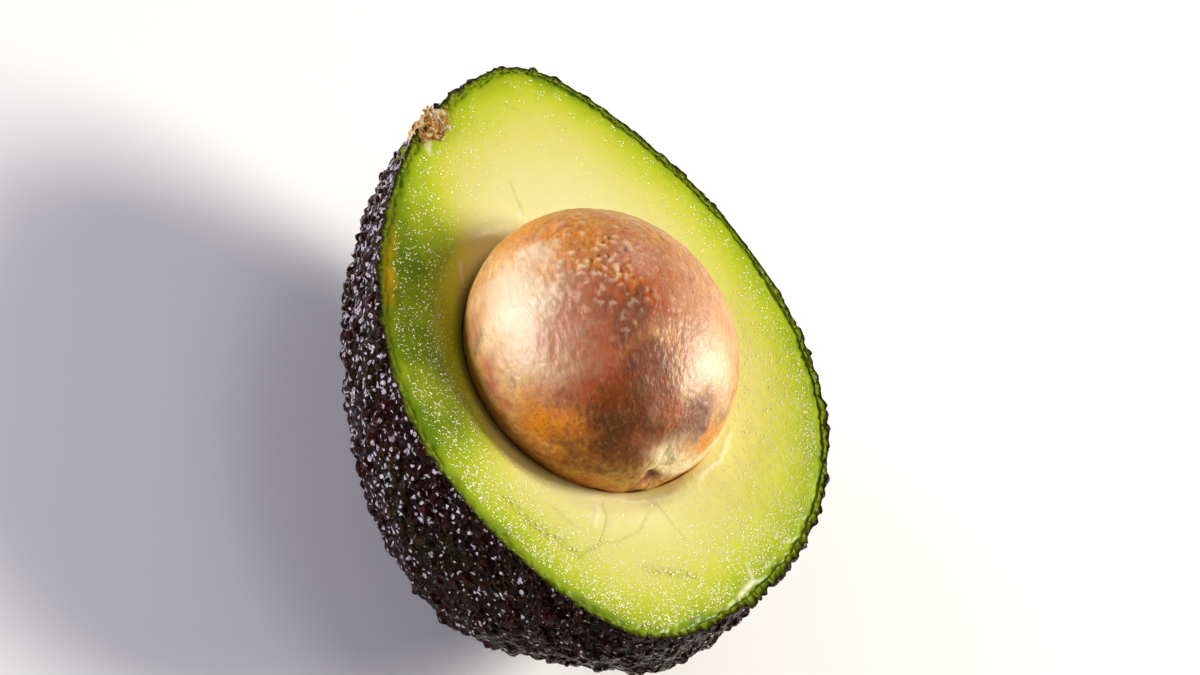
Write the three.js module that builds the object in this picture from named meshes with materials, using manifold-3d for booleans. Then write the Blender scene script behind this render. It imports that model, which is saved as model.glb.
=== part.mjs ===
// Half of a ripe avocado with its seed, lying on its skin with the cut face up.
// +X runs from the stem end to the blossom end and +Z out of the cut face. Sizes are in millimetres.
import * as THREE from "three";
import { ConvexHull } from "three/addons/math/ConvexHull.js";
import { mergeVertices } from "three/addons/utils/BufferGeometryUtils.js";
import Module from "manifold-3d";

// Fruit, measured in the valleys between the pebbles of the skin
const HALF_LENGTH = 49.0;
const HALF_WIDTH = 35.3;
const DEPTH_TO_WIDTH = 1.1;
const CUT_HEIGHT = 38.1; // cut face above the surface that the fruit lies on
const SKIN_THICKNESS = 1.1;
const CLEARANCE = 0.3; // between touching pieces

// Pebbles of the skin
const PEBBLE_POINTS = 6200; // points over the whole fruit, of which about a third become peaks
const PEBBLE_LOW = 0.5; // height of a peak, from the lowest to the highest
const PEBBLE_HIGH = 1.1;
const RIDGE_SHARE = 0.18; // share of the points between peaks that join two pebbles into a ridge
const RIDGE_HEIGHT = 0.6; // of a peak's height
const INNER_POINTS = 1500;

// Seed, an egg whose folded tip points to the blossom end
const SEED_CENTRE = new THREE.Vector3(2.5, -1.6, 1.5);
const SEED_RADII = new THREE.Vector3(20.9, 19.6, 16.6);
const SEED_POINTS = 700;
const SEED_TIP = 0.6; // how far the tip stands past the egg
const SEED_TIP_SHARPNESS = 14;
const SEED_PLEATS = 9;
const SEED_PLEAT_DEPTH = 0.35;

// Shallow dish in the flesh, which the knife left round the seed
const DISH_CENTRE = new THREE.Vector3(5, -6, 22);
const DISH_RADII = new THREE.Vector3(36, 30, 30);
const DISH_POINTS = 1500;

// Corky button on the shoulder where the stem broke off
const STEM_STATION = -0.7; // along the half length
const STEM_SINK = 0.9; // its centre inside the outline
const STEM_RADII = new THREE.Vector3(3.7, 2.3, 4.4); // along the outline, across it and down
const STEM_POINTS = 130;
const STEM_ROUGHNESS = 0.45;

const RANDOM_SEED = 20;

const wasm = await Module();
wasm.setup();

// The same draws on every run
function seededRandom(seed) {
  let state = seed;
  return () => {
    state = (state + 0x6d2b79f5) | 0;
    let mixed = Math.imul(state ^ (state >>> 15), 1 | state);
    mixed = (mixed + Math.imul(mixed ^ (mixed >>> 7), 61 | mixed)) ^ mixed;
    return ((mixed ^ (mixed >>> 14)) >>> 0) / 4294967296;
  };
}

// Unit sphere of evenly spread points along a spiral from pole to pole, joined into triangles
function spiralSphere(count) {
  const goldenAngle = Math.PI * (3 - Math.sqrt(5));
  const points = Array.from({ length: count }, (_, i) => {
    const height = 1 - (2 * i + 1) / count;
    const radius = Math.sqrt(1 - height * height);
    return new THREE.Vector3(
      radius * Math.cos(i * goldenAngle),
      radius * Math.sin(i * goldenAngle),
      height,
    );
  });
  const indexOf = new Map(points.map((point, i) => [point, i]));
  const index = [];
  for (const face of new ConvexHull().setFromPoints(points).faces) {
    index.push(indexOf.get(face.edge.head().point));
    index.push(indexOf.get(face.edge.next.head().point));
    index.push(indexOf.get(face.edge.prev.head().point));
  }
  return new THREE.BufferGeometry().setFromPoints(points).setIndex(index);
}

// Moves each point of a unit sphere to where place puts it
function shaped(sphere, place) {
  const geometry = sphere.clone();
  const position = geometry.attributes.position;
  const point = new THREE.Vector3();
  for (let i = 0; i < position.count; i++) {
    place(point.fromBufferAttribute(position, i));
    position.setXYZ(i, point.x, point.y, point.z);
  }
  geometry.computeVertexNormals();
  return geometry;
}

// Moves each point of a shape along its normal by heightAt(index)
function raised(geometry, heightAt) {
  const { position, normal } = geometry.attributes;
  for (let i = 0; i < position.count; i++) {
    const height = heightAt(i);
    position.setXYZ(
      i,
      position.getX(i) + height * normal.getX(i),
      position.getY(i) + height * normal.getY(i),
      position.getZ(i) + height * normal.getZ(i),
    );
  }
  return geometry;
}

// Pear outline: c runs from -1 at the stem end to 1 at the blossom end
function fullness(c) {
  return 1 + 0.081 * c - 0.116 * c ** 2 - 0.048 * c ** 3 - 0.203 * c ** 4;
}

// The fruit is a little bent towards the shoulder that carries the stem
function centreLine(c) {
  return 0.4 - 2.2 * c - 3.3 * c ** 2 + 2 * c ** 3;
}

// How far the sides swell past an ellipse half way down, as a share of the width
function sideFullness(c) {
  return -0.02 - 0.06 * c + 0.3 * c ** 2;
}

function placeOnFruit(point) {
  const c = point.x;
  const around = point.y ** 2 + point.z ** 2;
  const cornering = around > 0 ? (4 * point.y ** 2 * point.z ** 2) / around ** 2 : 0;
  const halfWidth = HALF_WIDTH * fullness(c) * (1 + sideFullness(c) * cornering);
  point.set(HALF_LENGTH * c, centreLine(c) + halfWidth * point.y, DEPTH_TO_WIDTH * halfWidth * point.z);
}

// Flattens the belly where the fruit lies, inset below the skin's surface
function settled(geometry, inset) {
  const position = geometry.attributes.position;
  for (let i = 0; i < position.count; i++) {
    position.setZ(i, Math.max(position.getZ(i), inset - CUT_HEIGHT));
  }
  return geometry;
}

function fruitShell(inset) {
  return settled(raised(shaped(spiralSphere(INNER_POINTS), placeOnFruit), () => -inset), inset);
}

// Heights of the pebbles: no two peaks are neighbours, and some points between them rise to ridges
function pebbleHeights(geometry, random) {
  const count = geometry.attributes.position.count;
  const neighbours = Array.from({ length: count }, () => new Set());
  const corner = geometry.index.array;
  for (let i = 0; i < corner.length; i += 3) {
    for (let k = 0; k < 3; k++) {
      neighbours[corner[i + k]].add(corner[i + ((k + 1) % 3)]);
      neighbours[corner[i + k]].add(corner[i + ((k + 2) % 3)]);
    }
  }
  const heights = new Array(count).fill(0);
  const drawn = Array.from({ length: count }, (_, i) => ({ i, draw: random() }));
  drawn.sort((a, b) => a.draw - b.draw);
  for (const { i } of drawn) {
    if ([...neighbours[i]].every((j) => heights[j] === 0)) {
      heights[i] = PEBBLE_LOW + (PEBBLE_HIGH - PEBBLE_LOW) * random();
    }
  }
  return heights.map((height, i) => {
    if (height > 0 || random() > RIDGE_SHARE) return height;
    return RIDGE_HEIGHT * Math.max(...[...neighbours[i]].map((j) => heights[j]));
  });
}

function pebbledFruit(random) {
  const smooth = shaped(spiralSphere(PEBBLE_POINTS), placeOnFruit);
  const heights = pebbleHeights(smooth, random);
  return settled(raised(smooth, (i) => heights[i]), 0);
}

// The tip is a low cone with pleats that run into it
function seedShape(inset) {
  const egg = shaped(spiralSphere(SEED_POINTS), (point) => {
    const tip = Math.max(point.x, 0) ** SEED_TIP_SHARPNESS;
    const pleat = Math.cos(SEED_PLEATS * Math.atan2(point.z, point.y)) * Math.max(point.x, 0) ** 4;
    const away = Math.hypot(point.y, point.z);
    point.multiply(SEED_RADII);
    point.x += SEED_TIP * tip;
    point.y *= 1 + (SEED_PLEAT_DEPTH * pleat * away) / SEED_RADII.y;
    point.z *= 1 + (SEED_PLEAT_DEPTH * pleat * away) / SEED_RADII.z;
    point.add(SEED_CENTRE);
  });
  return raised(egg, () => -inset);
}

function ellipsoid(points, centre, radii) {
  return shaped(spiralSphere(points), (point) => point.multiply(radii).add(centre));
}

// Ellipsoid turned to lie along the outline at its station on the shoulder
function stemShape(margin, heightAt) {
  const edge = new THREE.Vector3(STEM_STATION, -Math.sqrt(1 - STEM_STATION ** 2), 0);
  const onwards = edge.clone().applyAxisAngle(new THREE.Vector3(0, 0, 1), 0.02);
  placeOnFruit(edge);
  placeOnFruit(onwards);
  const heading = Math.atan2(onwards.y - edge.y, onwards.x - edge.x);
  const inwards = new THREE.Vector3(-Math.sin(heading), Math.cos(heading), 0);
  const centre = edge.addScaledVector(inwards, STEM_SINK);
  const lump = shaped(spiralSphere(STEM_POINTS), (point) => point.multiply(STEM_RADII));
  return raised(lump, (i) => margin + heightAt(i)).rotateZ(heading).translate(centre.x, centre.y, 0);
}

function solidOf(geometry) {
  const bare = geometry.clone();
  bare.deleteAttribute("normal");
  bare.deleteAttribute("uv");
  const merged = mergeVertices(bare, 1e-5);
  return new wasm.Manifold(
    new wasm.Mesh({
      numProp: 3,
      vertProperties: merged.attributes.position.array,
      triVerts: new Uint32Array(merged.index.array),
    }),
  );
}

function meshOf(name, solid, material) {
  const { vertProperties, triVerts } = solid.getMesh();
  const geometry = new THREE.BufferGeometry();
  geometry.setAttribute("position", new THREE.BufferAttribute(vertProperties, 3));
  geometry.setIndex(new THREE.BufferAttribute(triVerts, 1));
  geometry.computeVertexNormals();
  const mesh = new THREE.Mesh(geometry, material);
  mesh.name = name;
  return mesh;
}

function surface(color, roughness) {
  return new THREE.MeshStandardMaterial({ color, roughness, metalness: 0 });
}

const random = seededRandom(RANDOM_SEED);
const blockSize = 3 * HALF_LENGTH; // reaches past the fruit on every side
const block = new THREE.BoxGeometry(blockSize, blockSize, blockSize);
const belowCut = solidOf(block.translate(0, 0, -blockSize / 2));
const fruit = solidOf(pebbledFruit(random)).intersect(belowCut);
const stemPocket = solidOf(stemShape(CLEARANCE + STEM_ROUGHNESS, () => 0));
const stemLump = solidOf(stemShape(0, () => STEM_ROUGHNESS * (2 * random() - 1)));

const skin = fruit.subtract(solidOf(fruitShell(SKIN_THICKNESS))).subtract(stemPocket);
const flesh = solidOf(fruitShell(SKIN_THICKNESS + CLEARANCE))
  .intersect(belowCut)
  .subtract(solidOf(seedShape(-CLEARANCE)))
  .subtract(solidOf(ellipsoid(DISH_POINTS, DISH_CENTRE, DISH_RADII)))
  .subtract(stemPocket);
const seed = solidOf(seedShape(0));
const stemButton = stemLump.intersect(belowCut);

const avocado = new THREE.Group();
avocado.add(
  meshOf("skin", skin, surface("#2a1f22", 0.35)),
  meshOf("flesh", flesh, surface("#d3d86a", 0.4)),
  meshOf("seed", seed, surface("#a9714a", 0.45)),
  meshOf("stem_button", stemButton, surface("#8a6642", 0.9)),
);

// The origin is the middle of the underside of the whole half
const middle = new THREE.Box3().setFromObject(avocado, true).getCenter(new THREE.Vector3());
avocado.position.set(-middle.x, -middle.y, CUT_HEIGHT);

export default avocado;
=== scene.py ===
"""Half of a ripe avocado with its seed, lying on its skin: the finished look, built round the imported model.

Every length in the classes is in millimetres unless its name says otherwise. +X runs from the stem end to
the blossom end of the fruit and +Z out of the cut face.
"""

from __future__ import annotations

import logging
import math
import random
from dataclasses import dataclass, field
from enum import Enum
from typing import Union

import bmesh
import bpy
from mathutils import Matrix, Vector, noise


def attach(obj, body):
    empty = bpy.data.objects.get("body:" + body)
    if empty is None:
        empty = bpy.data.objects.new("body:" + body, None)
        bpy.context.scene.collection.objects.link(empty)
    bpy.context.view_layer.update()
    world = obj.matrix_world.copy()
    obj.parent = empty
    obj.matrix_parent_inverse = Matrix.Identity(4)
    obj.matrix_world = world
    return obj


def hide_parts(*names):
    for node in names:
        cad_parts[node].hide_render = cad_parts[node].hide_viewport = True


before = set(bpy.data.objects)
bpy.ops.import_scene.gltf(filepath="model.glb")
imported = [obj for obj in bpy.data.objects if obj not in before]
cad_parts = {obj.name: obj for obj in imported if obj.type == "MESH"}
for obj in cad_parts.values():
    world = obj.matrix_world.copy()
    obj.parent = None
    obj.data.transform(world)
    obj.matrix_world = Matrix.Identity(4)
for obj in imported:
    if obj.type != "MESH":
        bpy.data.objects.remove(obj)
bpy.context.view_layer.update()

LOG = logging.getLogger("avocado")
MM = 0.001

# Fixes Blender's vector noise, which otherwise differs from run to run
NOISE_SEED = 4

# The fruit's own axes stand this far from the model's origin
FRUIT_OFFSET = Vector((0.082, -0.169, 38.1))

Tree = bpy.types.NodeTree
Node = bpy.types.Node
Socket = bpy.types.NodeSocket
Material = bpy.types.Material
Piece = bpy.types.Object
Settings = dict[str, object]
Inputs = dict[Union[str, int], object]
Stops = tuple[tuple[float, str], ...]
Triple = tuple[float, float, float]
Path = tuple[tuple[float, float], ...]


class Slot(Enum):
    """Material slots of the fruit."""

    SKIN = "skin"
    FLESH = "flesh"
    SEED = "seed"
    STEM = "stem"


def linear(hex_colour: str) -> tuple[float, float, float, float]:
    """Turns an sRGB hex colour into the linear colour that a shader takes.

    Args:
        hex_colour: A colour such as "#a1b2c3".

    Returns:
        Linear red, green and blue, with an alpha of 1.
    """
    parts = [int(hex_colour[i : i + 2], 16) / 255 for i in (1, 3, 5)]
    red, green, blue = (c / 12.92 if c <= 0.04045 else ((c + 0.055) / 1.055) ** 2.4 for c in parts)
    return red, green, blue, 1.0


def per_metre(feature: float) -> float:
    """Pattern scale whose features are about this many millimetres across."""
    return 1.0 / (feature * MM)


def smooth_step(low: float, high: float, value: float) -> float:
    """Rises smoothly from 0 at low to 1 at high."""
    share = min(max((value - low) / (high - low), 0.0), 1.0)
    return share * share * (3.0 - 2.0 * share)


def blend(first: float, second: float, share: float) -> float:
    """Value at a share of the way from first to second."""
    return first + (second - first) * share


def falloff(gap: float, span: float) -> float:
    """Falls smoothly from 1 at no gap towards 0 past the span."""
    return math.exp(-((gap / span) ** 2))


def distance_to_path(x: float, y: float, path: Path) -> tuple[float, float]:
    """Measures how far a point of the cut face is from a path on it.

    Args:
        x: Place along the fruit.
        y: Place across the fruit.
        path: Corners of the path.

    Returns:
        The distance, and the share of the path's pieces that lie before the nearest point.
    """
    nearest, share = math.inf, 0.0
    for i, ((x0, y0), (x1, y1)) in enumerate(zip(path, path[1:])):
        dx, dy = x1 - x0, y1 - y0
        along = min(max(((x - x0) * dx + (y - y0) * dy) / (dx * dx + dy * dy), 0.0), 1.0)
        gap = math.hypot(x - x0 - along * dx, y - y0 - along * dy)
        if gap < nearest:
            nearest, share = gap, (i + along) / (len(path) - 1)
    return nearest, share


def add_node(tree: Tree, kind: str, settings: Settings, inputs: Inputs) -> Node:
    """Adds a node to a material with its settings, values and links.

    Args:
        tree: Node tree of the material.
        kind: Blender's name of the node type, without its ShaderNode.
        settings: Properties of the node.
        inputs: For each input name or number, a constant or an output socket to link.

    Returns:
        The new node.
    """
    made = tree.nodes.new(f"ShaderNode{kind}")
    for name, value in settings.items():
        setattr(made, name, value)
    for key, value in inputs.items():
        if isinstance(value, Socket):
            tree.links.new(value, made.inputs[key])
        else:
            made.inputs[key].default_value = value
    return made


def fill_ramp(ramp_node: Node, stops: Stops) -> Socket:
    """Gives a colour ramp its stops.

    Args:
        ramp_node: Colour ramp node.
        stops: Position and sRGB hex colour of each stop, in order.

    Returns:
        The ramp's colour output.
    """
    elements = ramp_node.color_ramp.elements
    while len(elements) < len(stops):
        elements.new(1.0)
    for element, (position, colour) in zip(elements, stops):
        element.position = position
        element.color = linear(colour)
    return ramp_node.outputs["Color"]


def bent_place(tree: Tree, place: Socket, feature: float, detail: float, reach: float) -> Socket:
    """Bends the place at which a pattern is looked up, so that its cells lose their straight edges.

    Args:
        tree: Node tree of the material.
        place: Place to bend.
        feature: Rough size of the bends, in millimetres.
        detail: How many finer layers they have.
        reach: How far a bend goes at most, in millimetres.

    Returns:
        The bent place.
    """
    way = add_node(tree, "TexNoise", {}, {"Vector": place, "Scale": per_metre(feature), "Detail": detail})
    scaling = {0: way.outputs["Color"], "Scale": reach * MM}
    offset = add_node(tree, "VectorMath", {"operation": "SCALE"}, scaling)
    return add_node(tree, "VectorMath", {}, {0: place, 1: offset.outputs["Vector"]}).outputs["Vector"]


def new_material(name: str) -> tuple[Material, Tree, Node]:
    """Makes an empty surface material.

    Args:
        name: Name of what the real material is.

    Returns:
        The material, its node tree and its Principled shader.
    """
    material = bpy.data.materials.new(name)
    material.use_nodes = True
    return material, material.node_tree, material.node_tree.nodes["Principled BSDF"]


def finish_piece(
    bm: bmesh.types.BMesh, name: str, material: Material, replaced: str = ""
) -> Piece:
    """Turns a finished bmesh into a piece that rides on the fruit.

    Args:
        bm: Mesh in millimetres on the fruit's axes. It is freed.
        name: Name of the piece.
        material: Its material.
        replaced: Name of the model's node that it stands for, if any.

    Returns:
        The new object.
    """
    bmesh.ops.translate(bm, vec=FRUIT_OFFSET, verts=bm.verts)
    bmesh.ops.scale(bm, vec=Vector((MM, MM, MM)), verts=bm.verts)
    for face in bm.faces:
        face.smooth = True
    mesh = bpy.data.meshes.new(name)
    bm.to_mesh(mesh)
    bm.free()
    mesh.materials.append(material)
    piece = bpy.data.objects.new(name, mesh)
    bpy.context.scene.collection.objects.link(piece)
    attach(piece, "root")
    if replaced:
        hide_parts(replaced)
    LOG.info("%s: %d faces", name, len(mesh.polygons))
    return piece


@dataclass(frozen=True)
class FruitForm:
    """Pear-shaped body of the fruit, cut along its length at z = 0."""

    half_length: float = 49.0
    half_width: float = 35.3
    depth_to_width: float = 1.1
    cut_height: float = 38.1
    skin: float = 0.7
    skin_wave: float = 0.25

    def width(self, c: float) -> float:
        """Half width before it closes at the ends, at c from -1 at the stem end to 1."""
        return self.half_width * (1 + 0.081 * c - 0.116 * c**2 - 0.048 * c**3 - 0.203 * c**4)

    def width_slope(self, c: float) -> float:
        """Change of width with c."""
        return self.half_width * (0.081 - 0.232 * c - 0.144 * c**2 - 0.812 * c**3)

    def side_fullness(self, c: float) -> float:
        """How far the sides swell past an ellipse half way down, as a share of the width."""
        return -0.02 - 0.06 * c + 0.3 * c**2

    def centre_line(self, c: float) -> float:
        """Sideways bend of the fruit at c."""
        return 0.4 - 2.2 * c - 3.3 * c**2 + 2.0 * c**3

    def centre_slope(self, c: float) -> float:
        """Change of the bend with c."""
        return -2.2 - 6.6 * c + 6.0 * c**2

    def surface(self, way: Vector) -> tuple[Vector, Vector]:
        """Finds the point of the skin that lies towards a direction.

        Args:
            way: Unit vector from the middle of the fruit, before the fruit is stretched to its shape.

        Returns:
            The point, and the outward normal there.
        """
        around = way.y**2 + way.z**2
        corner = 4 * way.y**2 * way.z**2 / around**2 if around > 0 else 0.0
        c, w = way.x, self.width(way.x) * (1 + self.side_fullness(way.x) * corner)
        point = Vector(
            (self.half_length * c, self.centre_line(c) + w * way.y, self.depth_to_width * w * way.z)
        )
        lean = c - way.y * self.centre_slope(c) / w - (1 - c * c) * self.width_slope(c) / w
        normal = Vector((lean / self.half_length, way.y / w, way.z / (self.depth_to_width * w)))
        return point, normal.normalized()

    def settled(self, point: Vector, inset: float) -> Vector:
        """Flattens a point of a layer this far inside the skin onto the spot where the fruit lies."""
        floor = inset - self.cut_height
        return Vector((point.x, point.y, max(point.z, floor)))

    def inner_inset(self, way: Vector) -> float:
        """Depth of the wavy line where the skin meets the pulp on the cut, at the direction's place on it."""
        level = Vector((way.x, way.y, 0)).normalized() if way.z > -0.9999 else Vector((1, 0, 0))
        return self.skin + self.skin_wave * (noise.noise(level * 18) + 0.6 * noise.noise(level * 47))

    def layer(self, way: Vector, inset: float) -> Vector:
        """Point of the smooth layer this far inside the skin."""
        point, normal = self.surface(way)
        return self.settled(point - inset * normal, inset)


@dataclass(frozen=True)
class SeedForm:
    """Egg whose folded tip points to the blossom end."""

    centre: Triple = (2.5, -1.6, 1.5)
    radii: Triple = (20.9, 19.6, 16.6)
    tip: float = 0.6
    tip_sharpness: int = 14

    def surface(self, way: Vector, margin: float = 0.0) -> Vector:
        """Point of the smooth seed towards a direction.

        Args:
            way: Unit vector from the seed's centre, before the seed is stretched to its shape.
            margin: Distance outside the seed.

        Returns:
            The point on the fruit's axes.
        """
        egg = Vector([w * (r + margin) for w, r in zip(way, self.radii)])
        egg.x += self.tip * max(way.x, 0.0) ** self.tip_sharpness
        return egg + Vector(self.centre)


@dataclass(frozen=True)
class RipeRind:
    """Ripe pebbled rind: a waxy leathery exocarp, almost black, that glints on each pebble.

    Pale specks lie on it, most on the side that carries the stem: partly waxy bloom, partly painted glints.
    """

    tints: Stops = (
        (0.34, "#260b10"),
        (0.46, "#3a1006"),
        (0.56, "#341804"),
        (0.66, "#2a2204"),
        (0.78, "#32360a"),
    )
    # Painted shade, by crest share: darker in the valleys, full colour on the crests
    valley_shade_stops: Stops = ((0.0, "#4a4a4a"), (0.45, "#b4b4b4"), (1.0, "#ffffff"))
    valley_shade_share: float = 0.8
    patch_mm: float = 11.0
    crest: str = "#3d2019"
    speck_mm: float = 1.3
    speck_share: float = 0.55
    # Pale specks, partly waxy bloom and partly painted glints, laid thickest on the side that carries the
    # stem
    bloom_and_glint: str = "#cabfc6"
    bloom_and_glint_mm: float = 1.15  # real bloom is a finer powder
    bloom_and_glint_stops: Stops = ((0.0, "#000000"), (0.08, "#f0f0f0"), (0.22, "#f0f0f0"), (0.32, "#707070"))
    cluster_mm: float = 3.0
    cluster_share: float = 0.55
    shoulder_lean: float = 0.3
    shoulder_from: float = -38.0
    shoulder_to: float = -2.0
    shoulder_bloom_and_glint: float = 0.13
    far_bloom_and_glint: float = -0.06
    cut_tints: Stops = ((0.0, "#2a1c0a"), (0.28, "#38380c"), (0.5, "#56660e"), (1.0, "#869818"))
    grain_mm: float = 0.45
    grain_height_mm: float = 0.05
    bead_mm: float = 1.2
    bead_height_mm: float = 1.6
    bead_point: float = 1.15
    roughness: float = 0.2

    def with_bloom_and_glints(self, tree: Tree, place: Socket, colour: Socket) -> Socket:
        """Lays the pale specks, partly bloom and partly painted glints, over a colour.

        Args:
            tree: Node tree of the material.
            place: Object coordinates.
            colour: Colour under the specks.

        Returns:
            The colour with the specks of bloom and painted glints.
        """
        warped = bent_place(tree, place, 0.8 * self.bloom_and_glint_mm, 2.0, self.bloom_and_glint_mm)
        dots = add_node(
            tree, "TexVoronoi", {}, {"Vector": warped, "Scale": per_metre(self.bloom_and_glint_mm), "Randomness": 1.0}
        )
        along = add_node(tree, "SeparateXYZ", {}, {"Vector": place}).outputs
        shoulder = add_node(
            tree, "Math", {"operation": "MULTIPLY_ADD"}, {0: along["X"], 1: self.shoulder_lean, 2: along["Y"]}
        )
        spread = add_node(
            tree,
            "MapRange",
            {},
            {
                "Value": shoulder.outputs["Value"],
                "From Min": self.shoulder_from * MM,
                "From Max": self.shoulder_to * MM,
                "To Min": self.shoulder_bloom_and_glint,
                "To Max": self.far_bloom_and_glint,
            },
        ).outputs["Result"]
        clusters = add_node(
            tree, "TexNoise", {}, {"Vector": place, "Scale": per_metre(self.cluster_mm), "Detail": 2.0}
        ).outputs["Fac"]
        clustered = add_node(
            tree, "Math", {"operation": "MULTIPLY_ADD"}, {0: clusters, 1: self.cluster_share, 2: spread}
        ).outputs["Value"]
        nearness = add_node(
            tree, "Math", {"operation": "SUBTRACT"}, {0: clustered, 1: dots.outputs["Distance"]}
        ).outputs["Value"]
        share = fill_ramp(add_node(tree, "ValToRGB", {}, {"Fac": nearness}), self.bloom_and_glint_stops)
        with_bloom_and_glints = add_node(
            tree, "Mix", {"data_type": "RGBA"}, {"Factor": share, 6: colour, 7: linear(self.bloom_and_glint)}
        )
        return with_bloom_and_glints.outputs[2]

    def build(self) -> Material:
        """Makes the material.

        Returns:
            The new material.
        """
        material, tree, shader = new_material("ripe_rind")
        place = add_node(tree, "TexCoord", {}, {}).outputs["Object"]
        patches = add_node(
            tree, "TexNoise", {}, {"Vector": place, "Scale": per_metre(self.patch_mm), "Detail": 5.0}
        ).outputs["Fac"]
        tint = fill_ramp(add_node(tree, "ValToRGB", {}, {"Fac": patches}), self.tints)
        # Painted shade: the colour darkens from the crests into the valleys between the pebbles
        crest = add_node(tree, "Attribute", {"attribute_name": "crest"}, {}).outputs["Fac"]
        height = fill_ramp(add_node(tree, "ValToRGB", {}, {"Fac": crest}), self.valley_shade_stops)
        body = add_node(
            tree,
            "Mix",
            {"data_type": "RGBA", "blend_type": "MULTIPLY"},
            {"Factor": self.valley_shade_share, 6: tint, 7: height},
        ).outputs[2]
        specks = add_node(
            tree, "TexNoise", {}, {"Vector": place, "Scale": per_metre(self.speck_mm), "Detail": 2.0}
        ).outputs["Fac"]
        speck_share = add_node(
            tree,
            "MapRange",
            {},
            {"Value": specks, "From Min": 0.6, "From Max": 0.78, "To Max": self.speck_share},
        ).outputs["Result"]
        speckled = add_node(
            tree, "Mix", {"data_type": "RGBA"}, {"Factor": speck_share, 6: body, 7: linear(self.crest)}
        ).outputs[2]
        cut = add_node(tree, "Attribute", {"attribute_name": "cut"}, {}).outputs["Fac"]
        cut_tint = fill_ramp(add_node(tree, "ValToRGB", {}, {"Fac": cut}), self.cut_tints)
        on_cut = add_node(tree, "Math", {"operation": "GREATER_THAN"}, {0: cut, 1: 0.02}).outputs["Value"]
        # Painted glints: pale specks, partly waxy bloom, over the skin outside the cut
        outside = self.with_bloom_and_glints(tree, place, speckled)
        colour = add_node(tree, "Mix", {"data_type": "RGBA"}, {"Factor": on_cut, 6: outside, 7: cut_tint})
        tree.links.new(colour.outputs[2], shader.inputs["Base Color"])
        wear = add_node(
            tree,
            "MapRange",
            {},
            {"Value": patches, "To Min": self.roughness - 0.05, "To Max": self.roughness + 0.08},
        )
        tree.links.new(wear.outputs["Result"], shader.inputs["Roughness"])
        bent = bent_place(tree, place, 1.5 * self.bead_mm, 1.0, self.bead_mm)
        beads = add_node(
            tree, "TexVoronoi", {}, {"Vector": bent, "Scale": per_metre(self.bead_mm), "Randomness": 1.0}
        ).outputs["Distance"]
        domes = add_node(tree, "Math", {"operation": "POWER"}, {0: beads, 1: self.bead_point})
        bead_bump = add_node(
            tree,
            "Bump",
            {"invert": True},
            {"Height": domes.outputs["Value"], "Strength": 1.0, "Distance": self.bead_height_mm * MM},
        ).outputs["Normal"]
        grain = add_node(
            tree, "TexNoise", {}, {"Vector": place, "Scale": per_metre(self.grain_mm), "Detail": 2.0}
        ).outputs["Fac"]
        bump = add_node(
            tree,
            "Bump",
            {},
            {"Height": grain, "Strength": 0.2, "Distance": self.grain_height_mm * MM, "Normal": bead_bump},
        )
        tree.links.new(bump.outputs["Normal"], shader.inputs["Normal"])
        shader.inputs["IOR"].default_value = 1.19
        return material


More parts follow.
